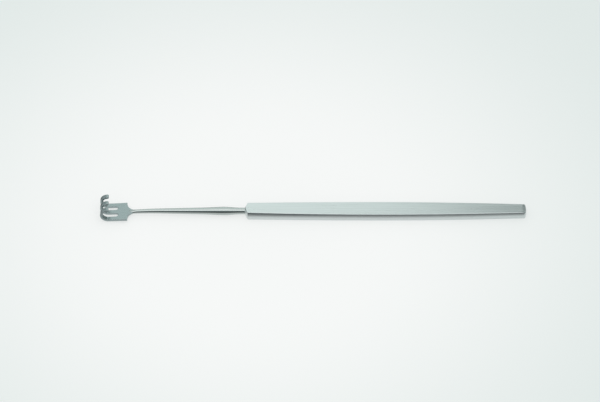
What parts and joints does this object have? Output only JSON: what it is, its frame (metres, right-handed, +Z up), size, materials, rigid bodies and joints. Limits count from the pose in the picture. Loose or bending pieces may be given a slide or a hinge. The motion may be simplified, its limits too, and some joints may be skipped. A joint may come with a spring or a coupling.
{
  "type": "handheld surgical retractor",
  "caption": "Slender steel hand retractor: flat-faced handle with bowed edges, round neck, and a small slotted rake plate whose prongs curl up and back into blunt hooks.",
  "frame": {"origin": "middle of the instrument's length and width, on the surface that the handle lies on", "axes": "+X towards the handle's butt end, +Z up, the way the hooks point, Y across the handle"},
  "size_m": [0.1652, 0.0088, 0.0067],
  "materials": {
    "steel": "satin stainless steel, brushed lengthwise on the handle and polished on the neck"
  },
  "bodies": {
    "root": {"rake_retractor": "steel"}
  },
  "joints": []
}
